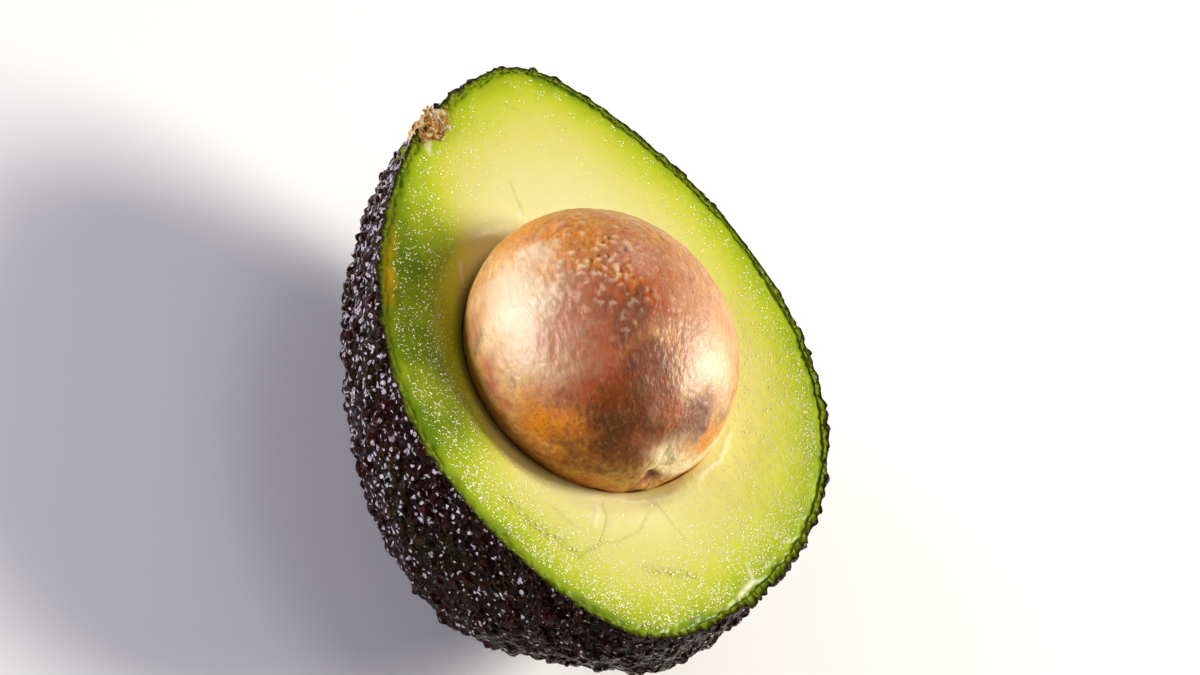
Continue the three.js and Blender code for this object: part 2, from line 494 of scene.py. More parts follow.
@dataclass(frozen=True)
class FreshPulp:
    """Fresh cut pulp: a moist, buttery mesocarp, lime at the skin and cream at the seed. It lets light in."""

    bands: Stops = (
        (0.0, "#6a8606"),
        (0.05, "#9db012"),
        (0.15, "#bfca2c"),
        (0.27, "#d5d552"),
        (0.42, "#e0d974"),
        (0.7, "#e8e194"),
        (1.0, "#ede6a4"),
    )
    band_reach_mm: float = 26.0
    band_shift_mm: float = 2.2
    stain: str = "#cba40a"
    crack: str = "#9a9438"
    film: str = "#f4efcc"
    cloud_mm: float = 7.0
    grain_mm: float = 0.4
    grain_height_mm: float = 0.12
    fibre_mm: float = 1.2
    fibre_height_mm: float = 0.2

    def build(self) -> Material:
        """Makes the material.

        Returns:
            The new material.
        """
        material, tree, shader = new_material("fresh_pulp")
        place = add_node(tree, "TexCoord", {}, {}).outputs["Object"]
        clouds = add_node(
            tree, "TexNoise", {}, {"Vector": place, "Scale": per_metre(self.cloud_mm), "Detail": 3.0}
        ).outputs["Fac"]
        shift = add_node(
            tree,
            "MapRange",
            {},
            {"Value": clouds, "To Min": -self.band_shift_mm, "To Max": self.band_shift_mm},
        ).outputs["Result"]
        # Distance from the skin, shortened beside the seed where painted shade makes the pulp greener and
        # darker
        skin_reach_and_shade = add_node(tree, "Attribute", {"attribute_name": "skin_reach_and_shade"}, {}).outputs["Fac"]
        wavy = add_node(tree, "Math", {}, {0: skin_reach_and_shade, 1: shift}).outputs["Value"]
        share = add_node(tree, "MapRange", {}, {"Value": wavy, "From Max": self.band_reach_mm})
        colour = fill_ramp(add_node(tree, "ValToRGB", {}, {"Fac": share.outputs["Result"]}), self.bands)
        for name, tone in (("stain", self.stain), ("crack", self.crack), ("film", self.film)):
            mark = add_node(tree, "Attribute", {"attribute_name": name}, {}).outputs["Fac"]
            colour = add_node(
                tree, "Mix", {"data_type": "RGBA"}, {"Factor": mark, 6: colour, 7: linear(tone)}
            ).outputs[2]
        tree.links.new(colour, shader.inputs["Base Color"])
        fibres = add_node(
            tree, "TexNoise", {}, {"Vector": place, "Scale": per_metre(self.fibre_mm), "Detail": 4.0}
        ).outputs["Fac"]
        fibre_bump = add_node(
            tree, "Bump", {}, {"Height": fibres, "Strength": 0.25, "Distance": self.fibre_height_mm * MM}
        ).outputs["Normal"]
        grain = add_node(
            tree, "TexNoise", {}, {"Vector": place, "Scale": per_metre(self.grain_mm), "Detail": 2.0}
        ).outputs["Fac"]
        bump = add_node(
            tree,
            "Bump",
            {},
            {"Height": grain, "Strength": 0.25, "Distance": self.grain_height_mm * MM, "Normal": fibre_bump},
        )
        tree.links.new(bump.outputs["Normal"], shader.inputs["Normal"])
        shader.inputs["Roughness"].default_value = 0.36
        shader.inputs["IOR"].default_value = 1.34
        shader.inputs["Subsurface Weight"].default_value = 0.35
        shader.inputs["Subsurface Radius"].default_value = (1.0, 0.8, 0.25)
        shader.inputs["Subsurface Scale"].default_value = 1.6 * MM
        return material


@dataclass(frozen=True)
class SeedCoat:
    """Damp seed coat: a thin papery skin, cream to tan with orange, rust and plum stains, softly shining."""

    base: Stops = ((0.3, "#b86e26"), (0.45, "#cf8e40"), (0.58, "#e0ae58"), (0.75, "#efcc88"))
    stains: tuple[tuple[str, str], ...] = (
        ("gold", "#dc8400"),
        ("rust", "#ae440a"),
        ("plum", "#66280f"),
        # Mauve, partly stain and partly painted highlight
        ("mauve", "#d69c78"),
        ("olive", "#64380c"),
    )
    fleck: str = "#9a4012"
    fleck_share: float = 0.55
    scurf: str = "#dcaa70"
    scurf_share: float = 0.2
    # Pale film; the same colour also paints highlights on the seed's two lit sides
    film: str = "#f2deb2"
    mottle_mm: float = 3.6
    speck_mm: float = 0.8
    fleck_mm: float = 0.45
    scurf_mm: float = 0.7
    wrinkle_mm: float = 0.6
    wrinkle_height_mm: float = 0.25
    drawn_out: Triple = (0.4, 1.0, 1.0)

    def build(self) -> Material:
        """Makes the material.

        Returns:
            The new material.
        """
        material, tree, shader = new_material("seed_coat")
        place = add_node(tree, "TexCoord", {}, {}).outputs["Object"]
        mapping = add_node(tree, "Mapping", {}, {"Vector": place, "Scale": self.drawn_out})
        drawn_out = mapping.outputs["Vector"]
        mottle, specks, flecks, scurf, wrinkles = (
            add_node(
                tree, "TexNoise", {}, {"Vector": where, "Scale": per_metre(feature), "Detail": detail}
            ).outputs["Fac"]
            for where, feature, detail in (
                (place, self.mottle_mm, 6.0),
                (drawn_out, self.speck_mm, 4.0),
                (place, self.fleck_mm, 1.0),
                (drawn_out, self.scurf_mm, 5.0),
                (drawn_out, self.wrinkle_mm, 4.0),
            )
        )
        half_mottle = add_node(tree, "Math", {"operation": "MULTIPLY"}, {0: mottle, 1: 0.6}).outputs["Value"]
        ragged = add_node(
            tree, "Math", {"operation": "MULTIPLY_ADD"}, {0: specks, 1: 0.7, 2: half_mottle}
        ).outputs["Value"]
        layers = []
        for name, tone in self.stains:
            strength = add_node(tree, "Attribute", {"attribute_name": name}, {}).outputs["Fac"]
            broken = add_node(tree, "Math", {}, {0: strength, 1: ragged}).outputs["Value"]
            share = add_node(
                tree,
                "MapRange",
                {"interpolation_type": "SMOOTHSTEP"},
                {"Value": broken, "From Min": 0.6, "From Max": 1.42, "To Max": 0.97},
            ).outputs["Result"]
            layers.append((share, tone))
        fleck_share = add_node(
            tree,
            "MapRange",
            {},
            {"Value": flecks, "From Min": 0.56, "From Max": 0.72, "To Max": self.fleck_share},
        ).outputs["Result"]
        scurf_share = add_node(
            tree,
            "MapRange",
            {},
            {"Value": scurf, "From Min": 0.54, "From Max": 0.72, "To Max": self.scurf_share},
        ).outputs["Result"]
        # The pale share carries both film and painted highlights
        pale_film_and_highlight = add_node(tree, "Attribute", {"attribute_name": "pale_film_and_highlight"}, {}).outputs["Fac"]
        layers += [(fleck_share, self.fleck), (scurf_share, self.scurf), (pale_film_and_highlight, self.film)]
        colour = fill_ramp(add_node(tree, "ValToRGB", {}, {"Fac": mottle}), self.base)
        for share, tone in layers:
            colour = add_node(
                tree, "Mix", {"data_type": "RGBA"}, {"Factor": share, 6: colour, 7: linear(tone)}
            ).outputs[2]
        tree.links.new(colour, shader.inputs["Base Color"])
        bump = add_node(
            tree, "Bump", {}, {"Height": wrinkles, "Strength": 0.75, "Distance": self.wrinkle_height_mm * MM}
        )
        tree.links.new(bump.outputs["Normal"], shader.inputs["Normal"])
        shader.inputs["Roughness"].default_value = 0.37
        shader.inputs["IOR"].default_value = 1.43
        shader.inputs["Subsurface Weight"].default_value = 0.12
        shader.inputs["Subsurface Radius"].default_value = (1.0, 0.5, 0.25)
        shader.inputs["Subsurface Scale"].default_value = 1.0 * MM
        return material


@dataclass(frozen=True)
class JuiceBead:
    """Beads of juice and oil on the fresh cut: pale, wet and clear enough to glint. Their pale colour is
    partly painted highlight.
    """

    # Near-white, partly painted highlight
    tone: str = "#fbf8bc"

    def build(self) -> Material:
        """Makes the material.

        Returns:
            The new material.
        """
        material, _, shader = new_material("juice_bead")
        shader.inputs["Base Color"].default_value = linear(self.tone)
        shader.inputs["Roughness"].default_value = 0.2
        shader.inputs["IOR"].default_value = 1.45
        shader.inputs["Coat Weight"].default_value = 1.0
        shader.inputs["Coat Roughness"].default_value = 0.15
        return material


@dataclass(frozen=True)
class StemCork:
    """Dry cork of the broken stem: crumbly and matt, tan with orange-brown cracks."""

    tints: Stops = ((0.3, "#4a2a0c"), (0.4, "#a06c1c"), (0.5, "#c09448"), (0.6, "#c4b088"), (0.75, "#e8e0d0"))
    crumb_mm: float = 1.3
    crumb_height_mm: float = 0.4

    def build(self) -> Material:
        """Makes the material.

        Returns:
            The new material.
        """
        material, tree, shader = new_material("stem_cork")
        place = add_node(tree, "TexCoord", {}, {}).outputs["Object"]
        crumbs = add_node(
            tree, "TexNoise", {}, {"Vector": place, "Scale": per_metre(self.crumb_mm), "Detail": 4.0}
        ).outputs["Fac"]
        tint = fill_ramp(add_node(tree, "ValToRGB", {}, {"Fac": crumbs}), self.tints)
        tree.links.new(tint, shader.inputs["Base Color"])
        bump = add_node(
            tree, "Bump", {}, {"Height": crumbs, "Strength": 0.8, "Distance": self.crumb_height_mm * MM}
        )
        tree.links.new(bump.outputs["Normal"], shader.inputs["Normal"])
        shader.inputs["Roughness"].default_value = 0.7
        return material


@dataclass
class Skin:
    """Pebbled rind of the half: the outside, the thin cut rim and the wall against the pulp."""

    form: FruitForm = field(default_factory=FruitForm)
    detail: int = 8
    wall_rows: int = 10
    wart: float = 2.3
    wart_height: float = 1.15
    bead: float = 1.25
    bead_height: float = 0.32
    crinkle: float = 0.85
    crinkle_height: float = 0.1
    swell: float = 9.0
    swell_height: float = 0.3
    bend: float = 2.2
    bend_reach: float = 0.9
    torn_at: Triple = (-28.8, -25.2, -1.6)
    torn_size: float = 2.0
    torn_rag: float = 1.1
    wall_spread: float = 1.2  # above 1, the rows of the wall crowd at the rim

    def domes(self, point: Vector, pitch: float) -> float:
        """Height of rounded warts of one size over the valleys, as a share.

        Args:
            point: Point of the smooth skin.
            pitch: Usual distance between two warts.

        Returns:
            The share, from 0 in a valley to 1 on the tallest wart.
        """
        near, cells = noise.voronoi(point / pitch)
        kind = cells[0] * 7.3 + Vector((3.1, 5.7, 1.3))
        reach = 0.5 + 0.22 * noise.cell(kind)
        lift = 0.65 + 0.35 * noise.cell(kind + Vector((11.3, 2.9, 4.7)))
        return lift * max(0.0, 1.0 - (near[0] / reach) ** 2)

    def relief(self, point: Vector) -> tuple[float, float]:
        """Height of the pebbles over the valleys at a point of the smooth skin.

        Args:
            point: Point of the smooth skin.

        Returns:
            The height in millimetres, and the share of a full crest for the colour.
        """
        bent = point + noise.noise_vector(point / self.bend) * self.bend_reach
        wart = self.domes(bent, self.wart)
        bead = self.domes(bent, self.bead)
        crinkle = 1.0 - 2.0 * abs(noise.noise(bent / self.crinkle))
        swell = noise.noise(point / self.swell)
        height = self.wart_height * wart + self.bead_height * bead * (1 - 0.6 * wart)
        height += self.crinkle_height * crinkle + self.swell_height * swell
        return height, min(wart + 0.4 * bead, 1.0)

    def build(self, material: Material) -> Piece:
        """Makes the piece.

        Args:
            material: Material of the rind.

        Returns:
            The new object.
        """
        bm = bmesh.new()
        crest = bm.verts.layers.float.new("crest")
        cut = bm.verts.layers.float.new("cut")
        bmesh.ops.create_icosphere(bm, subdivisions=self.detail, radius=1.0)
        geometry = [*bm.verts, *bm.edges, *bm.faces]
        bmesh.ops.bisect_plane(
            bm, geom=geometry, dist=1e-6, plane_co=(0, 0, 0), plane_no=(0, 0, 1), clear_outer=True
        )
        rim = [edge for edge in bm.edges if edge.is_boundary]
        ways = {}
        for vert in bm.verts:
            ways[vert] = vert.co.normalized()
            point, normal = self.form.surface(ways[vert])
            height, vert[crest] = self.relief(point)
            ragged = noise.noise(point / self.torn_rag)
            torn = 1 - (point - Vector(self.torn_at)).length / self.torn_size + 0.5 * ragged
            vert[cut] = 0.9 * smooth_step(0.0, 0.5, torn)
            vert.co = self.form.settled(point + height * normal, 0.0)
        for row in range(self.wall_rows + 1):
            drop = math.radians(90.0 * (row / self.wall_rows) ** self.wall_spread)
            for edge in rim:
                edge.smooth = row > 1
            grown = bmesh.ops.extrude_edge_only(bm, edges=rim)["geom"]
            verts = [item for item in grown if isinstance(item, bmesh.types.BMVert)]
            edges = [item for item in grown if isinstance(item, bmesh.types.BMEdge)]
            fresh = set(verts)
            rim = [edge for edge in edges if edge.verts[0] in fresh and edge.verts[1] in fresh]
            for vert in verts:
                old = next(e.other_vert(vert) for e in vert.link_edges if e.other_vert(vert) not in fresh)
                level = Vector((ways[old].x, ways[old].y, 0)).normalized()
                ways[vert] = level
                way = Vector((level.x * math.cos(drop), level.y * math.cos(drop), -math.sin(drop)))
                vert.co = self.form.layer(way, self.form.inner_inset(level))
                vert[cut] = 1.0
        bmesh.ops.remove_doubles(bm, verts=bm.verts, dist=1e-4)
        bmesh.ops.recalc_face_normals(bm, faces=bm.faces)
        return finish_piece(bm, "rind", material, "skin")


@dataclass
class Flesh:
    """Pulp of the half: cut face, dish beside the seed, hollow under it and the wall against the skin."""

    form: FruitForm = field(default_factory=FruitForm)
    seed: SeedForm = field(default_factory=SeedForm)
    around: int = 720
    hollow_rows: int = 12
    face_rows: int = 98
    wall_rows: int = 12
    tuck: float = 0.05
    hollow_margin: float = 0.12
    dish_centre: Triple = (5.0, -6.0, 22.0)
    dish_radii: Triple = (36.0, 30.0, 30.0)
    dish_blend: float = 1.2
    dish_end: tuple[float, float] = (2.0, 6.0)
    edge_drop: float = 0.28
    edge_width: float = 1.7
    edge_rough: float = 0.3
    cracks: tuple[Path, ...] = (
        ((24.4, -3.4), (30.0, -5.2), (35.1, -7.4), (36.6, -9.8), (38.4, -11.8)),
        ((35.1, -7.4), (33.6, -3.8), (31.4, -0.4), (26.7, 2.5)),
    )
    crack_depth: float = 0.13
    crack_width: float = 0.22
    veins: tuple[Path, ...] = (
        ((24.0, 3.0), (28.8, 4.9), (32.4, 7.3)),
        ((-26.8, -9.9), (-23.8, -9.4), (-20.8, -8.5)),
        ((-41.0, -8.4), (-40.6, -5.4)),
        ((29.6, -14.0), (33.0, -10.4)),
    )
    vein_width: float = 0.3
    dents: tuple[Path, ...] = (
        ((37.8, -1.7), (37.9, 2.2), (37.2, 7.8)),
        ((29.0, -22.0), (34.0, -17.0), (38.0, -10.0)),
    )
    dent_depth: float = 0.2
    dent_width: float = 0.8
    ridges: tuple[Path, ...] = (
        ((33.3, 15.9), (36.5, 16.3), (40.4, 12.7)),
        ((-11.0, -19.8), (-9.4, -19.6), (-7.8, -18.8)),
        ((-20.9, -9.9), (-20.0, -9.4)),
        ((-33.3, -21.6), (-30.4, -22.3), (-27.7, -22.6)),
        ((10.8, 18.6), (16.6, 15.4), (20.8, 10.6)),
        ((24.2, -2.6), (25.0, 0.6), (24.8, 4.0), (23.4, 7.4)),
        ((26.4, -5.0), (29.6, -6.4), (32.4, -7.6)),
    )
    ridge_height: float = 0.12
    ridge_width: float = 0.42
    mark_reach: float = 20.0  # no part of a mark is further from its first corner
    clear_seed: float = 0.4
    clear_skin: float = 1.3
    clear_end: float = 0.985  # share of the half length
    inner_from_skin: float = 30.0  # what the hollow's colour takes for its distance from the skin
    sway: float = 6.0
    sway_height: float = 0.12
    waves: float = 1.3
    wave_height: float = 0.05
    # Where the pulp is drawn greener and darker beside the seed: partly deeper green pulp, mostly painted
    # shade
    seed_shade_share: float = 0.84
    seed_shade_at: float = 2.0
    seed_shade_across: tuple[float, float] = (-25.0, -14.0)
    seed_shade_along: tuple[float, float] = (16.0, 30.0)
    stain_at: float = -5.0
    stain_reach: float = 7.0
    face_spread: float = 1.35  # above 1, the rows of the cut face crowd at the skin

    def dish(self, x: float, y: float) -> float:
        """Finds how high the cut face lies at a point.

        Args:
            x: Place along the fruit.
            y: Place across the fruit.

        Returns:
            The height, which is below zero inside the dish.
        """
        across = (x - self.dish_centre[0]) / self.dish_radii[0]
        along = (y - self.dish_centre[1]) / self.dish_radii[1]
        inside = 1.0 - across * across - along * along
        if inside <= 0:
            return 0.0
        bowl = self.dish_centre[2] - self.dish_radii[2] * math.sqrt(inside)
        depth = 0.5 * (bowl - math.sqrt(bowl * bowl + self.dish_blend))
        return depth * (1 - smooth_step(*self.dish_end, bowl))

    def reach_at(self, x: float, y: float) -> float | None:
        """Finds how far a point of the cut face is from the skin.

        Args:
            x: Place along the fruit.
            y: Place across the fruit.

        Returns:
            The distance, or nothing where the point is too near the skin or the seed for a bead of juice.
        """
        over = ((x - self.seed.centre[0]) / (self.seed.radii[0] + self.clear_seed)) ** 2
        over += ((y - self.seed.centre[1]) / (self.seed.radii[1] + self.clear_seed)) ** 2
        c = x / self.form.half_length
        if over < 1 or abs(c) > self.clear_end:
            return None
        half = self.form.width(c) * math.sqrt(1 - c * c)
        aside = y - self.form.centre_line(c)
        slope = self.form.width_slope(c) * math.sqrt(1 - c * c)
        slope -= self.form.width(c) * c / math.sqrt(1 - c * c)
        reach = (half - abs(aside)) / math.hypot(1, slope / self.form.half_length) - self.form.skin
        return reach if reach > self.clear_skin else None

    def swayed(self, x: float, y: float) -> float:
        """Height of the cut face at a point, with the slow rise and fall that the knife left."""
        return self.dish(x, y) + self.sway_height * noise.noise(Vector((x, y, 0)) / self.sway)

    def painted_seed_shade(self, flat: Vector) -> float:
        """Share by which the pulp is greener and darker at a point beside the seed: partly its deeper green,
        mostly painted shade.
        """
        across = 1 - smooth_step(*self.seed_shade_across, flat.y)
        return across * (1 - smooth_step(*self.seed_shade_along, abs(flat.x - self.seed_shade_at)))

    def lip(self, way: Vector) -> float:
        """Finds where the cut face meets the seed.

        Args:
            way: Level unit vector from the seed's centre.

        Returns:
            The angle on the seed, which is negative below its middle.
        """
        angle = 0.0
        for _ in range(4):
            spot = self.seed.surface(Vector((way.x * math.cos(angle), way.y * math.cos(angle), 0)))
            drop = self.dish(spot.x, spot.y) - self.seed.centre[2]
            angle = math.asin(drop / (self.seed.radii[2] + self.hollow_margin))
        return angle

    def build(self, material: Material) -> Piece:
        """Makes the piece.

        Args:
            material: Material of the pulp.

        Returns:
            The new object.
        """
        bm = bmesh.new()
        layers = {name: bm.verts.layers.float.new(name) for name in ("skin_reach_and_shade", "crack", "stain", "film")}
        rows = self.hollow_rows + self.face_rows + self.wall_rows
        bmesh.ops.create_grid(bm, x_segments=self.around, y_segments=rows, size=1.0)
        lips = {}
        for vert in bm.verts:
            turn = round((vert.co.x + 1) / 2 * self.around)
            row = round((vert.co.y + 1) / 2 * rows)
            angle = 2 * math.pi * (turn % self.around) / self.around
            way = Vector((math.cos(angle), math.sin(angle), 0))
            if turn not in lips:
                inset = self.form.inner_inset(way) - self.tuck
                lips[turn] = (self.lip(way), self.form.layer(way, inset), inset)
            lip, edge, inset = lips[turn]
            if row < self.hollow_rows:
                low = blend(-math.pi / 2, lip, row / self.hollow_rows)
                spot = Vector((way.x * math.cos(low), way.y * math.cos(low), math.sin(low)))
                vert.co = self.seed.surface(spot, self.hollow_margin)
                vert[layers["skin_reach_and_shade"]] = self.inner_from_skin
            elif row <= self.hollow_rows + self.face_rows:
                spot = Vector((way.x * math.cos(lip), way.y * math.cos(lip), math.sin(lip)))
                start = self.seed.surface(spot, self.hollow_margin)
                share = 1 - (1 - (row - self.hollow_rows) / self.face_rows) ** self.face_spread
                flat = start.lerp(edge, share)
                reach = (Vector((edge.x, edge.y)) - Vector((flat.x, flat.y))).length
                self.dress_face(vert, flat, reach, layers)
            else:
                drop = math.pi / 2 * (row - self.hollow_rows - self.face_rows) / self.wall_rows
                spot = Vector((way.x * math.cos(drop), way.y * math.cos(drop), -math.sin(drop)))
                vert.co = self.form.layer(spot, inset)
        bmesh.ops.remove_doubles(bm, verts=bm.verts, dist=1e-4)
        bmesh.ops.recalc_face_normals(bm, faces=bm.faces)
        return finish_piece(bm, "pulp", material, "flesh")

    def dress_face(self, vert: bmesh.types.BMVert, flat: Vector, reach: float, layers: dict) -> None:
        """Places a point of the cut face and notes what its colour needs.

        Args:
            vert: Point to place.
            flat: Its place on the plane of the cut.
            reach: Distance from the skin.
            layers: Attribute layers by name.
        """
        height = self.swayed(flat.x, flat.y)
        height += self.wave_height * noise.noise(Vector((flat.x, flat.y, 5)) / self.waves)
        rag = 0.5 * noise.noise(Vector((flat.x, flat.y, 3)) / 1.8)
        margin = 1 - smooth_step(0.0, self.edge_width, reach + rag)
        lumps = noise.noise(Vector((flat.x, flat.y, 7)) / 0.75)
        height += margin * (self.edge_rough * lumps * min(reach / 0.4, 1.0) - self.edge_drop)
        crack = self.strength(flat, self.cracks, self.crack_width)
        vein = self.strength(flat, self.veins, self.vein_width)
        dent = self.strength(flat, self.dents, self.dent_width)
        ridge = self.strength(flat, self.ridges, self.ridge_width)
        height += self.ridge_height * ridge - self.crack_depth * crack - self.dent_depth * dent
        vert.co = Vector((flat.x, flat.y, height))
        # Painted shade: the distance is shortened where the seed's shadow falls, so the colour there is
        # greener and darker
        vert[layers["skin_reach_and_shade"]] = reach * (1 - self.seed_shade_share * self.painted_seed_shade(flat))
        vert[layers["crack"]] = 0.24 * crack + 0.25 * vein + 0.2 * dent
        vert[layers["film"]] = 0.6 * ridge
        gold = falloff(flat.x - self.stain_at, self.stain_reach) * (flat.y < 0)
        patchy = min(0.8 + noise.noise(flat / 2.0), 1.0)
        vert[layers["stain"]] = gold * (1 - smooth_step(0.8, 3.0, reach)) * patchy

    def strength(self, flat: Vector, paths: tuple[Path, ...], width: float) -> float:
        """Strength of the nearest of several ragged marks at a point of the cut face.

        Args:
            flat: Point on the plane of the cut.
            paths: Corners of each mark.
            width: Half width of a mark.

        Returns:
            The strength, from 0 away from the marks to 1 in the middle of one.
        """
        strongest = 0.0
        for path in paths:
            if max(abs(flat.x - path[0][0]), abs(flat.y - path[0][1])) > self.mark_reach:
                continue
            gap, share = distance_to_path(flat.x, flat.y, path)
            if gap > 5 * width:
                continue
            rag = 0.9 + 0.8 * noise.noise(Vector((flat.x, flat.y, 9)) / 0.8)
            fade = 1 - (2 * share - 1) ** 6
            strongest = max(strongest, falloff(gap, width * max(rag, 0.25)) * fade)
        return strongest


@dataclass
class JuiceBeads:
    """Small beads of juice that stand on the cut face, most of them near the skin and at the blossom end.

    They are drawn fewer and coarser than real beads, which are too small and too many for the triangles.
    """

    flesh: Flesh = field(default_factory=Flesh)
    count: int = 9500
    smallest: float = 0.07
    largest: float = 0.17
    flatness: float = 0.4
    half_span: tuple[float, float] = (48.0, 36.0)
    tries: int = 40  # places drawn for each bead, at most
    random_seed: int = 11

    def density(self, x: float, y: float, reach: float) -> float:
        """Finds how dense the beads are at a point of the cut face.

        Args:
            x: Place along the fruit.
            y: Place across the fruit.
            reach: Distance from the skin.

        Returns:
            The share of the places that carry a bead.
        """
        near_skin = 1 - smooth_step(3.0, 18.0, reach)
        blossom = smooth_step(-12.0, 24.0, x + 0.35 * y)
        top = smooth_step(-44.0, -10.0, x)
        patchy = 0.75 + 0.6 * noise.noise(Vector((x, y, 2)) / 4.0)
        return patchy * (0.1 + 0.9 * near_skin) * (0.12 + 0.2 * top + 0.68 * blossom)

    def build(self, material: Material) -> Piece:
        """Makes the piece.

        Args:
            material: Material of the beads.

        Returns:
            The new object.
        """
        bead = bmesh.new()
        bmesh.ops.create_icosphere(bead, subdivisions=1, radius=1.0)
        bmesh.ops.bisect_plane(
            bead,
            geom=[*bead.verts, *bead.edges, *bead.faces],
            plane_co=(0, 0, -0.2),
            plane_no=(0, 0, 1),
            clear_inner=True,
        )
        shape = bpy.data.meshes.new("bead_shape")
        bead.to_mesh(shape)
        bead.free()
        draw = random.Random(self.random_seed)
        bm = bmesh.new()
        placed = 0
        for _ in range(self.tries * self.count):
            if placed == self.count:
                break
            x, y = (draw.uniform(-span, span) for span in self.half_span)
            found = self.flesh.reach_at(x, y)
            if found is None or draw.random() > self.density(x, y, found):
                continue
            size = blend(self.smallest, self.largest, draw.random() ** 2)
            scale = Matrix.Diagonal((size, size * draw.uniform(0.8, 1.3), size * self.flatness, 1))
            turn = Matrix.Rotation(draw.uniform(0, 3.1), 4, "Z")
            copy = shape.copy()
            copy.transform(Matrix.Translation((x, y, self.flesh.swayed(x, y))) @ turn @ scale)
            bm.from_mesh(copy, face_normals=False, vertex_normals=False)
            bpy.data.meshes.remove(copy)
            placed += 1
        bpy.data.meshes.remove(shape)
        bm.normal_update()
        return finish_piece(bm, "juice_beads", material)


